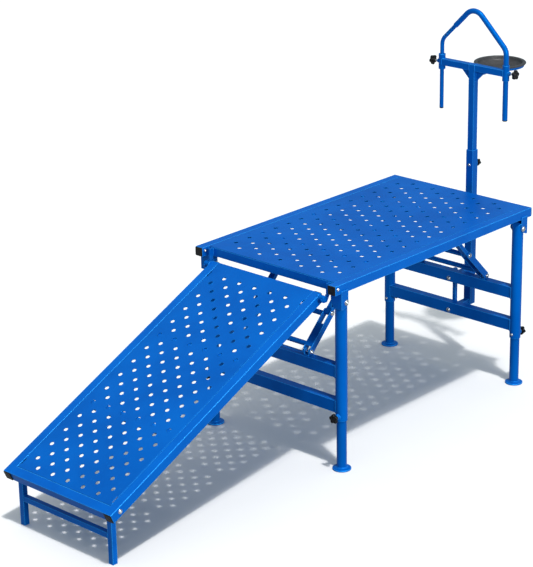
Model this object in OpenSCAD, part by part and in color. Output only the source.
// Livestock grooming table: perforated deck on two folding, height-adjustable
// leg frames, hook-on perforated ramp with a folding foot, mast with neck yoke
// and feed bowl. X runs along the deck (ramp at -X, mast at +X), Z is up.
// "Near" is the -X end, "far" the +X end, "left" the +Y side, "right" the -Y side.
// Names ending in _d are diameters, _r radii, _t thicknesses.

/* [Deck] */
// deck length
deck_length = 1006; // [960:1:1050]
// deck width over the side rails
deck_width = 590; // [560:1:620]
// height of the standing surface
top_z = 625; // [615:1:640]
// side rail section
rail = 30; // [28:0.5:32]
// diameter of the punched holes
hole_d = 14; // [10:0.5:18]
// hole pitch along the deck
pitch_x = 63; // [60:0.5:64]
// row pitch across the deck
pitch_y = 43.8; // [42:0.1:46]

/* [Legs] */
// outer leg tube diameter
leg_d = 38; // [37:0.1:38.4]
// inner leg tube diameter
inner_d = 32; // [31:0.1:32.4]
// leg pivot distance from the middle of the deck
pivot_x = 455; // [450:1:460]
// foot disc diameter
foot_d = 60; // [50:1:70]

/* [Ramp] */
// ramp length
ramp_length = 991; // [985:1:995]
// ramp width
ramp_width = 460; // [450:1:464]
// row pitch across the ramp
ramp_pitch_y = 32.3; // [30:0.1:33]

/* [Head] */
// outer mast section
mast_size = 28; // [27.5:0.1:29]
// yoke tube diameter
yoke_d = 18.4; // [17:0.1:19]
// half width of the yoke
yoke_half = 135; // [130:1:138]
// bowl radius inside its rolled rim
bowl_r = 83; // [80:1:86]

/* [Hidden] */
$fn = 48;
wall = 2;                       // tube wall
fit = 0.05;                     // clearance around pins
cap_t = 3;                      // end cap of a tube plug

// deck
half_l = deck_length/2;
half_w = deck_width/2;
rail_in = half_w - rail;        // inner face of the rails
rail_z = top_z - rail;          // underside of the rails
sheet_t = 2;
sheet_inset = 30;               // sheet edge from the near deck end
end_bolt_in = 12;               // rail bolt from the near end and from the top
end_bolt_r = 3;
cross_half = 15;                // half width of a cross member

// legs
leg_r = leg_d/2;
inner_r = inner_d/2;
leg_room = 19.3;                // leg line to each bracket side
leg_y = half_w - leg_room;
pivot_drop = 33;                // leg pivot below the rails
pivot_z = rail_z - pivot_drop;
pivot_r = 5;
bracket_t = 3;
bracket_in = leg_y - leg_room - bracket_t;
bracket_out = half_w + bracket_t;
head_solid = 30;                // solid leg head, below the pivot
bar_upper = 330;                // cross bar heights
bar_lower = 213;
bar_half_x = 15;
bar_half_z = 20;
collar_z = 168;                 // bottom of the outer leg tubes
knob_z = 182;

// folding braces
brace_reach = 200;              // leg pivot to brace pivots
clevis_z = pivot_z - brace_reach;
anchor_x = pivot_x - brace_reach;
link_l = brace_reach*sqrt(2)/2; // one brace link
brace_y = 138;
pin_r = 4;
knee_r = 5;
lug_half = 11;                  // half width over a pair of lugs
lug_r = 9;
lug_t = 3.5;
cheek_half = 15;                // half width over the lower link
cheek_t = 2.5;
cross_xs = [-half_l + 45, -anchor_x, 0, anchor_x, half_l - cross_half];

// ramp
ramp_slope = 24.5;
ramp_x = -(half_l - 8);         // ramp top edge
ramp_z = top_z - 37;
ramp_tube = 30;
ramp_in = ramp_width/2 - ramp_tube; // inside of the ramp side tubes
hook_x = ramp_x - 8;            // hook pin axis
hook_z = ramp_z - 11;
hook_r = 9;
foot_along = 957;               // foot frame pivot, along and below the ramp
foot_below = 15;
foot_x = ramp_x - foot_along*cos(ramp_slope) + foot_below*sin(ramp_slope);
foot_z = ramp_z - foot_along*sin(ramp_slope) - foot_below*cos(ramp_slope);

// mast, yoke and bowl
mast_x = 560;
mast_top = 760;
mast_half = mast_size/2;
mast_bore = 11.6;               // half width of the bore
mast_knob_z = 707;
arm_zs = [bar_upper - 8, bar_lower - 8];
tbar_z = 1050;                  // cross bar of the mast
yoke_r = yoke_d/2;
yoke_in_r = 7.1;                // slimmer left yoke tube
yoke_foot = 888;                // bottom of the yoke tubes
low_bend_r = 40;
top_bend_r = 45;
low_tangent = low_bend_r*tan(22.5);
yoke_peak = 1261.6;             // where the sloping axes meet
yoke_corner = yoke_peak - yoke_half; // where the upright and sloping axes meet
cos45 = sqrt(0.5);
slope_l = yoke_half/cos45 - low_tangent - top_bend_r;
bowl_x = 710;
bowl_z = 1042;
rim = 7;                        // rolled rim outside bowl_r

// the whole table is centred over the origin, from bowl rim to lower ramp plugs
shift_x = -(bowl_x + bowl_r + rim + ramp_x
  - (ramp_length + cap_t)*cos(ramp_slope) + 0.5*sin(ramp_slope))/2;

near = -1;
far = 1;
right = -1;
left = 1;

blue = [0.02, 0.28, 0.80];
zinc = [0.78, 0.80, 0.82];
black = [0.05, 0.05, 0.06];
grey = [0.16, 0.17, 0.19];

// ---- helpers; a range is [from, to]
function about(middle, half) = [middle - half, middle + half];
module centred() translate([shift_x, 0, 0]) children();
module far_end() mirror([1, 0, 0]) children();
module both_ends() { children(); far_end() children(); }
module both_y() { children(); mirror([0, 1, 0]) children(); }
// box and rods over ranges
module box(x, y, z) translate([x[0], y[0], z[0]]) cube([x[1] - x[0], y[1] - y[0], z[1] - z[0]]);
module rod_y(x, z, y, r) translate([x, y[0], z]) rotate([-90, 0, 0]) cylinder(r = r, h = y[1] - y[0]);
module rod_x(y, z, x, r) translate([x[0], y, z]) rotate([0, 90, 0]) cylinder(r = r, h = x[1] - x[0]);
// XZ outline extruded over a Y range
module plate_y(y) translate([0, y[1], 0]) rotate([90, 0, 0]) linear_extrude(y[1] - y[0]) children();
// dome-headed bolt along Y with its nut: head on the +Y side
module bolt_y(x, z, y, r, head_r, head_h) {
  rod_y(x, z, y, r);
  translate([x, y[1], z]) rotate([-90, 0, 0]) cylinder(r1 = head_r, r2 = head_r*0.72, h = head_h);
  translate([x, y[0] - head_h, z]) rotate([-90, 0, 0]) cylinder(r = head_r*1.02, h = head_h, $fn = 6);
}
// screw towards +X, its head widening from the origin to its seat
module screw_x(top_r, seat_r, length) rotate([0, 90, 0]) {
  cylinder(r1 = top_r, r2 = seat_r, h = 3);
  cylinder(r = 3, h = length);
}
module star(r, h, lobes = 5) {
  linear_extrude(h) difference() {
    union() {
      circle(r = r*0.74);
      for (i = [0:lobes-1]) rotate(i*360/lobes) translate([r*0.66, 0]) circle(r = r*0.34);
    }
    for (i = [0:lobes-1]) rotate((i + 0.5)*360/lobes) translate([r*1.02, 0]) circle(r = r*0.24);
  }
}
// clamping knob on a stud, pointing to +X from the stud tip at the origin
module clamp_knob(stud_r, stud_l, r, h = 15) rotate([0, 90, 0]) {
  cylinder(r = stud_r, h = stud_l + 1);
  translate([0, 0, stud_l]) cylinder(r = r*0.5, h = h*0.35);
  translate([0, 0, stud_l + h*0.3]) star(r, h*0.7);
}
// square plug: cap on the +X side of the tube end, core reaching in
module tube_plug(cap_half, core_half, depth) {
  box([0, cap_t], about(0, cap_half), about(0, cap_half));
  box([-depth, 0.01], about(0, core_half), about(0, core_half));
}
// 11 staggered rows of 14 and 15 holes, about the origin
module punched_holes(step_x, step_y) {
  for (row = [0:10]) for (col = [0:14])
    if (row % 2 == 1 || col < 14)
      translate([(col - 7 + (row % 2 == 1 ? 0 : 0.5))*step_x, (row - 5)*step_y])
        circle(d = hole_d, $fn = 32);
}
// two lugs with their pin axis at X = Z = 0, over Z range stem, on a foot plate
module lugs(stem, foot, foot_half) {
  for (y = [brace_y - lug_half, brace_y + lug_half - lug_t]) difference() {
    union() {
      rod_y(0, 0, [y, y + lug_t], lug_r);
      box(about(0, lug_r), [y, y + lug_t], stem);
    }
    rod_y(0, 0, [y - 1, y + 5], pin_r + fit);
  }
  box(about(0, foot_half), about(brace_y, lug_half), foot);
}

// ---- deck
module deck_frame() centred() color(blue) difference() {
  union() {
    both_y() box(about(0, half_l), [rail_in, half_w], [rail_z, top_z]);
    for (x = cross_xs)
      box(about(x, cross_half), about(0, rail_in + 0.5), [rail_z, top_z - sheet_t]);
  }
  both_y() box(about(0, half_l + 1), [rail_in + wall, half_w - wall], [rail_z + wall, top_z - wall]);
  for (x = cross_xs)
    box(about(x, cross_half - wall), about(0, rail_in - 1), [rail_z + wall, top_z - sheet_t - wall]);
  both_y() rod_y(-half_l + end_bolt_in, top_z - end_bolt_in, [rail_in - 1, half_w + 1], end_bolt_r + fit);
}
module deck_sheet() {
  gap = 0.8; // to each rail
  centred() color(blue) translate([0, 0, top_z - sheet_t]) linear_extrude(sheet_t) difference() {
    translate([-half_l + sheet_inset, -rail_in + gap])
      square([deck_length - sheet_inset, 2*(rail_in - gap)]);
    translate([sheet_inset/2, 0]) punched_holes(pitch_x, pitch_y);
  }
}
module deck_plug() tube_plug(rail/2 - 0.4, rail/2 - wall - 0.05, 14);
module deck_plugs() centred() color(black) both_y() {
  translate([half_l, half_w - rail/2, rail_z + rail/2]) deck_plug();
  translate([-half_l, half_w - rail/2, rail_z + rail/2]) rotate([0, 0, 180]) difference() {
    deck_plug();
    // clears the bolt through the rail end
    rod_y(-end_bolt_in, rail/2 - end_bolt_in, about(0, 20), 3.6);
  }
}
module rail_bolts() centred() color(zinc) both_y()
  bolt_y(-half_l + end_bolt_in, top_z - end_bolt_in, [rail_in - 0.1, half_w + 0.1], end_bolt_r, 5, 3);

// leg bracket, with the leg pivot at X = Z = 0
bracket_x = [-22.5, 8.5];
bracket_low = -20;
module bracket_side() difference() {
  polygon([[bracket_x[0], pivot_drop], [bracket_x[1], pivot_drop], [bracket_x[1], -5],
    [3, -12], [-16, bracket_low], [bracket_x[0], bracket_low]]);
  circle(r = pivot_r + fit);
}
module leg_bracket() {
  plate_y([bracket_in, bracket_in + bracket_t]) bracket_side();
  plate_y([half_w, bracket_out]) {
    bracket_side();
    // lip up the outside of the rail
    translate([bracket_x[0], pivot_drop - 1]) square([bracket_x[1] - bracket_x[0], 9]);
  }
  // web between the two sides, its foot narrowed
  translate([bracket_x[0], 0, 0]) rotate([90, 0, 90]) linear_extrude(bracket_t)
    polygon([[bracket_in, pivot_drop], [bracket_out, pivot_drop], [bracket_out, bracket_low],
      [leg_y - 12, bracket_low], [bracket_in, 2]]);
  box(bracket_x, [bracket_in, bracket_out], [pivot_drop - bracket_t, pivot_drop]);
}
module leg_brackets() centred() color(blue) both_y() both_ends()
  translate([-pivot_x, 0, pivot_z]) leg_bracket();
module pivot_bolts() centred() color(zinc) both_y() both_ends()
  bolt_y(-pivot_x, pivot_z, [bracket_in - 0.1, bracket_out + 0.1], pivot_r, 8.2, 4.5);
module brace_anchors() centred() color(blue) both_y() both_ends()
  translate([-anchor_x, 0, pivot_z]) lugs([0, pivot_drop - 1], [pivot_drop - 3, pivot_drop], 12);
module anchor_bolts() centred() color(zinc) both_y() both_ends()
  bolt_y(-anchor_x, pivot_z, about(brace_y, lug_half + 0.1), pin_r, 6.5, 3.6);
// open-topped hook plates on the first cross member
module ramp_cradles() centred() color(blue) both_y()
  translate([hook_x, 0, hook_z]) plate_y([half_w - 50, half_w - 44]) difference() {
    union() {
      circle(r = 14);
      polygon([[0, -14], [12, -14], [30, 18.5], [30, 45], [13, 45], [13, 0], [0, 0]]);
    }
    circle(r = hook_r + fit);
    translate([-20, 0]) square([20 + hook_r + fit, 60]);
  }

// ---- leg frames, drawn at the near end; children are cut away as well
module leg_frame() difference() {
  union() {
    both_y() {
      translate([-pivot_x, leg_y, collar_z]) cylinder(r = leg_r, h = pivot_z - collar_z);
      // rounded head
      intersection() {
        translate([-pivot_x, leg_y, pivot_z - 1]) cylinder(r = leg_r, h = 40);
        rod_y(-pivot_x, pivot_z, about(leg_y, 30), 19);
      }
      // knob boss
      rod_x(leg_y, knob_z, [-pivot_x - leg_r - 7, -pivot_x], 9);
    }
    for (z = [bar_upper, bar_lower])
      box(about(-pivot_x, bar_half_x), about(0, leg_y), about(z, bar_half_z));
  }
  both_y() {
    translate([-pivot_x, leg_y, collar_z - 1])
      cylinder(r = inner_r + 0.1, h = pivot_z - collar_z - head_solid + 1);
    rod_y(-pivot_x, pivot_z, about(leg_y, 30), pivot_r + fit);
    rod_x(leg_y, knob_z, [-pivot_x - 60, -pivot_x], 4 + fit);
  }
  for (z = [bar_upper, bar_lower])
    box(about(-pivot_x, bar_half_x - wall), about(0, leg_y - 21), about(z, bar_half_z - wall));
  children();
}
module near_leg_frame() centred() color(blue) leg_frame();
module far_leg_frame() centred() color(blue) far_end() leg_frame() {
  for (z = arm_zs) rod_x(0, z, about(-pivot_x, 20), 4 + fit);
  both_y() rod_x(leg_y, knob_z, [-pivot_x, -pivot_x + 40], 3 + fit);
}
module far_leg_screws() centred() color(zinc) both_y()
  translate([pivot_x - leg_r - 3, leg_y, knob_z]) screw_x(3.6, 5, 5.8);

module clevises() {
  bar_top = bar_upper + bar_half_z - clevis_z; // from the pin axis
  both_y() translate([-pivot_x, 0, clevis_z]) lugs([bar_top + 0.5, 0], [bar_top, bar_top + 2.5], lug_r);
}
module near_clevises() centred() color(blue) clevises();
module far_clevises() centred() color(blue) far_end() clevises();
module clevis_bolts() both_y()
  bolt_y(-pivot_x, clevis_z, about(brace_y, cheek_half + 0.2), pin_r, 6.8, 3.8);
module near_clevis_bolts() centred() color(zinc) clevis_bolts();
module far_clevis_bolts() centred() color(zinc) far_end() clevis_bolts();

// ---- folding brace, in its own frame: lower pin at the origin, X along the links
module on_brace() translate([-pivot_x, 0, clevis_z]) rotate([0, -45, 0]) children();
module link_cheek(y) difference() {
  plate_y([y, y + cheek_t]) {
    translate([0, -11]) square([link_l, 22]);
    circle(r = 10);
    translate([link_l, 0]) circle(r = 11);
  }
  rod_y(0, 0, [y - 1, y + cheek_t + 1], pin_r + fit);
}
module brace_lower() on_brace() {
  difference() {
    both_y() {
      link_cheek(brace_y - cheek_half);
      link_cheek(brace_y + cheek_half - cheek_t);
      box([14, link_l - 45], about(brace_y, cheek_half), [8.5, 11]);
    }
    both_y() rod_y(link_l, 0, [brace_y + 10, brace_y + 20], knee_r + fit);
    // takes the square corners off the pin end
    both_y() for (side = [-1, 1]) translate([-1, brace_y - 16, side*11])
      rotate([0, 45, 0]) box(about(0, 3), [0, 32], about(0, 3));
  }
  // tubes joining the right and left links
  for (x = [21, link_l - 9]) rod_y(x, 2, about(0, brace_y - 14), 8.5);
}
module brace_upper() {
  end_half = 7; // half width of the end between the anchor lugs
  on_brace() both_y() difference() {
    union() {
      box([link_l, 2*link_l - 16], about(brace_y, lug_half), about(0, 7));
      box([2*link_l - 17, 2*link_l], about(brace_y, end_half), about(0, 7));
      rod_y(link_l, 0, about(brace_y, lug_half), 9);
      rod_y(2*link_l, 0, about(brace_y, end_half), 9);
    }
    rod_y(2*link_l, 0, about(brace_y, end_half + 1), pin_r + fit);
    rod_y(link_l, 0, about(brace_y, lug_half + 1), knee_r + fit);
    box([link_l + 14, 2*link_l - 24], about(brace_y, lug_half - wall), about(0, 5));
  }
}
// short knee pin through the outer cheek of the lower link
module knee_bolts() on_brace() both_y() {
  rod_y(link_l, 0, [brace_y + 11.4, brace_y + 15.1], knee_r);
  rod_y(link_l, 0, [brace_y + 11.3, brace_y + 12.4], 8);
  translate([link_l, brace_y + 15.1, 0]) rotate([-90, 0, 0]) cylinder(r1 = 8, r2 = 5.8, h = 4.2);
}
module near_brace_lower() centred() color(blue) brace_lower();
module far_brace_lower() centred() color(blue) far_end() brace_lower();
module near_brace_upper() centred() color(blue) brace_upper();
module far_brace_upper() centred() color(blue) far_end() brace_upper();
module near_knee_bolts() centred() color(zinc) knee_bolts();
module far_knee_bolts() centred() color(zinc) far_end() knee_bolts();

// ---- telescopic inner legs with foot discs, and their clamping knobs
module inner_leg(end, side) centred() color(blue)
  translate([end*pivot_x, side*leg_y, 0]) difference() {
    union() {
      // its top stands just under the solid leg head
      cylinder(r = inner_r, h = pivot_z - head_solid - 0.2);
      cylinder(r = foot_d/2, h = 4);
      translate([0, 0, 4]) cylinder(r1 = foot_d/2, r2 = inner_r + 4, h = 3);
    }
    translate([0, 0, 8]) cylinder(r = inner_r - wall, h = pivot_z);
  }
module inner_leg_nr() inner_leg(near, right);
module inner_leg_nl() inner_leg(near, left);
module inner_leg_fr() inner_leg(far, right);
module inner_leg_fl() inner_leg(far, left);
module leg_knob(end, side) centred() color(black)
  translate([end*pivot_x, side*leg_y, knob_z]) mirror([end < 0 ? 1 : 0, 0, 0])
    translate([inner_r + 0.3, 0, 0]) clamp_knob(4, 11, 16);
module knob_nr() leg_knob(near, right);
module knob_nl() leg_knob(near, left);
module knob_fr() leg_knob(far, right);
module knob_fl() leg_knob(far, left);

// ---- mast
module mast_bracket() {
  face_x = pivot_x + bar_half_x; // far face of the cross bars
  centred() color(blue) difference() {
    union() {
      box([face_x, face_x + 12], about(0, 6), [bar_lower - bar_half_z, bar_upper + bar_half_z]);
      for (z = arm_zs) box([face_x + 11, mast_x - mast_half], about(0, 10), about(z, 10));
    }
    for (z = arm_zs) box([face_x + 13, mast_x], about(0, 8), about(z, 8));
    for (z = arm_zs) rod_x(0, z, [pivot_x, face_x + 9.5], 4 + fit);
  }
}
module mast_bracket_bolts() centred() color(zinc) for (z = arm_zs) {
  rod_x(0, z, [pivot_x - 15.1, pivot_x + 24], 4);
  translate([pivot_x - 19.6, 0, z]) rotate([0, 90, 0]) cylinder(r1 = 5, r2 = 7, h = 4.5);
}
module mast_outer() centred() color(blue) difference() {
  union() {
    box(about(mast_x, mast_half), about(0, mast_half), [196, mast_top]);
    rod_x(0, mast_knob_z, [mast_x, mast_x + mast_half + 8], 9);
  }
  box(about(mast_x, mast_bore), about(0, mast_bore), [199, mast_top + 1]);
  rod_x(0, mast_knob_z, [mast_x, mast_x + 40], 4 + fit);
  rod_x(0, mast_knob_z, [mast_x - 40, mast_x], 3 + fit);
}
module mast_screw() centred() color(zinc)
  translate([mast_x - mast_half - 3, 0, mast_knob_z]) screw_x(3.8, 5.4, 5.2);
module mast_knob() centred() color(black)
  translate([mast_x + mast_bore + 0.2, 0, mast_knob_z]) clamp_knob(4, 12, 13);
module mast_inner() {
  half = 11.5;
  bar_half = 11;
  centred() color(blue) difference() {
    union() {
      box(about(mast_x, half), about(0, half), [480, tbar_z + bar_half]);
      box(about(mast_x, bar_half), about(0, yoke_half - 4), about(tbar_z, bar_half));
      both_y() {
        // yoke sleeve and knob boss
        translate([mast_x, yoke_half, tbar_z - 26]) cylinder(r = 12, h = 53);
        rod_y(mast_x, tbar_z, [yoke_half, yoke_half + 17], 7);
        // gusset under the cross bar
        translate([mast_x - 1.5, 0, 0]) rotate([90, 0, 90]) linear_extrude(3)
          polygon([[11, tbar_z - 10.5], [50, tbar_z - 10.5], [11, tbar_z - 50]]);
      }
    }
    box(about(mast_x, half - wall), about(0, half - wall), [479, tbar_z + 7]);
    both_y() box(about(mast_x, bar_half - wall), [12, yoke_half - 13], about(tbar_z, bar_half - wall));
    translate([mast_x, -yoke_half, tbar_z - 40]) cylinder(r = yoke_r + 0.1, h = 90);
    translate([mast_x, yoke_half, tbar_z - 40]) cylinder(r = yoke_in_r + 0.1, h = 90);
    both_y() rod_y(mast_x, tbar_z, [yoke_half, yoke_half + 30], 3 + fit);
  }
}

// ---- yoke, bent in the plane of the mast
module bend(y, z, bend_r, start, angle, r)
  translate([mast_x, y, z]) rotate([90, 0, 90]) rotate([0, 0, start])
    rotate_extrude(angle = angle) translate([bend_r, 0]) circle(r = r);
// a straight run is a hair thinner than the bends; before and after lengthen its ends
module run(y, z, tilt, length, r, before, after)
  translate([mast_x, y, z]) rotate([tilt, 0, 0]) translate([0, 0, -before])
    cylinder(r = r - 0.05, h = length + before + after);
// right-hand upright, lower bend and slope
module side_path(r, slope, before, after) {
  run(-yoke_half, yoke_foot, 0, yoke_corner - low_tangent - yoke_foot, r, before, 1);
  bend(-yoke_half + low_bend_r, yoke_corner - low_tangent, low_bend_r, 135, 45, r);
  run(-yoke_half + low_tangent*cos45, yoke_corner + low_tangent*cos45, -45, slope, r, 1, after);
}
module main_path(r, extra) {
  side_path(r, slope_l, extra, 1);
  bend(0, yoke_peak - top_bend_r/cos45, top_bend_r, 45, 90, r);
  run(top_bend_r*cos45, yoke_peak - top_bend_r*cos45, -135, 66, r, 1, extra);
}
module left_path(r, extra) mirror([0, 1, 0]) side_path(r, slope_l - 26, extra, extra);
module yoke_main() centred() color(blue) difference() {
  main_path(yoke_r, 0);
  main_path(yoke_in_r + 0.1, 1);
}
module yoke_left() centred() color(blue) difference() {
  left_path(yoke_in_r, 0);
  left_path(5.2, 1);
  // row of adjusting holes along the sloping part
  for (i = [0:3]) {
    offset_yz = (low_tangent + 9 + i*13)*cos45;
    rod_x(yoke_half - offset_yz, yoke_corner + offset_yz, about(mast_x, 20), 3.2);
  }
}
module yoke_plug(y, tube_r, core_r) translate([mast_x, y, yoke_foot - 4]) {
  cylinder(r1 = tube_r - 1.5, r2 = tube_r - 0.2, h = 4);
  cylinder(r = core_r, h = 14);
}
module yoke_plugs() centred() color(black) {
  yoke_plug(-yoke_half, yoke_r, yoke_in_r);
  yoke_plug(yoke_half, yoke_in_r, 5.1);
}
module yoke_knob_r() centred() color(black)
  translate([mast_x, -yoke_half - yoke_r - 0.2, tbar_z]) rotate([0, 0, -90]) clamp_knob(3, 20, 17);
module yoke_knob_l() centred() color(black)
  translate([mast_x, yoke_half + yoke_in_r + 0.2, tbar_z]) rotate([0, 0, 90]) clamp_knob(3, 22, 17);

// ---- feed bowl in a ring holder
module bowl_holder() centred() color(blue) {
  translate([bowl_x, 0, bowl_z - 15]) difference() {
    cylinder(r = bowl_r + 0.5, h = 8, $fn = 96);
    translate([0, 0, -1]) cylinder(r = bowl_r - 3.5, h = 10, $fn = 96);
  }
  // arms and the blocks joining them to the mast cross bar
  both_y() {
    box([mast_x + 2, bowl_x - bowl_r + 7.6], [26, 34], [tbar_z - 24, tbar_z - 16]);
    box([mast_x + 2, mast_x + 11], [26, 34], [tbar_z - 20, tbar_z - 11]);
  }
}
// section as [radius, height]: up the outside, over the rim, down the inside
bowl_section = [
  [0, -27], [30, -27], [50, -25], [64, -20.5], [bowl_r - 10, -15], [bowl_r - 5.4, -10],
  [bowl_r - 4.4, -7], [bowl_r + 4, -7], [bowl_r + rim, -5.4], [bowl_r + rim, -3],
  [bowl_r + 4, -1], [bowl_r - 2, 0], [bowl_r - 6, -2], [bowl_r - 9, -9.5],
  [bowl_r - 13, -13.4], [63, -17.8], [49.6, -22.4], [30, -24.4], [0, -24.4]];
module feed_bowl() centred() color(grey)
  translate([bowl_x, 0, bowl_z]) rotate_extrude($fn = 96) polygon(bowl_section);

// ---- ramp, in its own frame: X down the slope, Z off its surface
module on_ramp() translate([ramp_x, 0, ramp_z]) rotate([0, -ramp_slope, 0])
  rotate([0, 0, 180]) children();
rung_xs = [330, 650];
module ramp_frame() {
  across = about(0, ramp_in + 0.5);
  bore_y = about(0, ramp_in - 1);
  centred() color(blue) on_ramp() difference() {
    union() {
      both_y() box([0, ramp_length], [ramp_in, ramp_width/2], [-ramp_tube, 0]);
      // the sheet runs over the upper end tube
      box([0, ramp_tube], across, [-ramp_tube, -sheet_t]);
      // the lower end is an open angle, so that the foot frame folds past it
      box([ramp_length - 30, ramp_length], across, [-3, 0]);
      box([ramp_length - 3, ramp_length], across, [-30, 0]);
      for (x = rung_xs) box([x, x + 20], across, [-22, -2]);
    }
    both_y() box([-1, ramp_length + 1], [ramp_in + wall, ramp_width/2 - wall], [wall - ramp_tube, -wall]);
    box([wall, ramp_tube - wall], bore_y, [wall - ramp_tube, -sheet_t - wall]);
    for (x = rung_xs) box([x + 1.5, x + 18.5], bore_y, [-20.5, -3.5]);
    both_y() rod_y(foot_along, -foot_below, [ramp_in - 1, ramp_width/2 + 1], pin_r + fit);
  }
}
module ramp_sheet() centred() color(blue) on_ramp()
  translate([0, 0, -sheet_t]) linear_extrude(sheet_t) difference() {
    union() {
      translate([0.2, -ramp_in + 0.1]) square([36, 2*ramp_in - 0.2]);
      translate([30, -ramp_in + 1]) square([ramp_length - 60.9, 2*ramp_in - 2]);
    }
    translate([ramp_length/2 + 2, 0]) punched_holes(63, ramp_pitch_y);
    // slots in the corners
    for (x = [43, ramp_length - 67], side = [-1, 1])
      translate([x, side*(ramp_in - 4.2) - 2]) square([24, 4]);
  }
module ramp_hook_pins() centred() color(blue) both_y()
  rod_y(hook_x, hook_z, [ramp_width/2, half_w - 42], hook_r);
module ramp_plugs() centred() color(black) on_ramp() both_y() for (end = [0, 1])
  translate([end*ramp_length, ramp_width/2 - ramp_tube/2, -ramp_tube/2])
    rotate([0, 0, end == 0 ? 180 : 0]) tube_plug(14.5, 12.9, 12);
module ramp_foot() centred() color(blue) difference() {
  union() {
    both_y() {
      box(about(foot_x, 9), [ramp_in - 18.4, ramp_in - 0.4], [0, foot_z]);
      rod_y(foot_x, foot_z, [ramp_in - 18.4, ramp_in - 0.4], 9);
    }
    box(about(foot_x, 8.5), about(0, ramp_in - 18), [80, 97]);
  }
  both_y() {
    box(about(foot_x, 7.4), [ramp_in - 16.8, ramp_in - 2], [2.5, foot_z - 12]);
    rod_y(foot_x, foot_z, [ramp_in - 30, ramp_in + 1], pin_r + fit);
  }
  box(about(foot_x, 6.9), about(0, ramp_in - 19), [81.6, 95.4]);
}
module ramp_foot_bolts() centred() color(zinc) both_y()
  bolt_y(foot_x, foot_z, [ramp_in - 18.5, ramp_width/2 + 0.1], pin_r, 6.4, 3.6);

deck_frame();
deck_sheet();
deck_plugs();
leg_brackets();
pivot_bolts();
brace_anchors();
anchor_bolts();
ramp_cradles();
rail_bolts();
near_leg_frame();
near_clevises();
near_clevis_bolts();
near_brace_lower();
near_knee_bolts();
near_brace_upper();
far_leg_frame();
far_clevises();
far_clevis_bolts();
far_brace_lower();
far_knee_bolts();
far_brace_upper();
far_leg_screws();
inner_leg_nr();
inner_leg_nl();
inner_leg_fr();
inner_leg_fl();
knob_nr();
knob_nl();
knob_fr();
knob_fl();
mast_bracket();
mast_bracket_bolts();
mast_outer();
mast_screw();
mast_knob();
mast_inner();
yoke_main();
yoke_left();
yoke_plugs();
yoke_knob_r();
yoke_knob_l();
bowl_holder();
feed_bowl();
ramp_frame();
ramp_sheet();
ramp_hook_pins();
ramp_plugs();
ramp_foot();
ramp_foot_bolts();
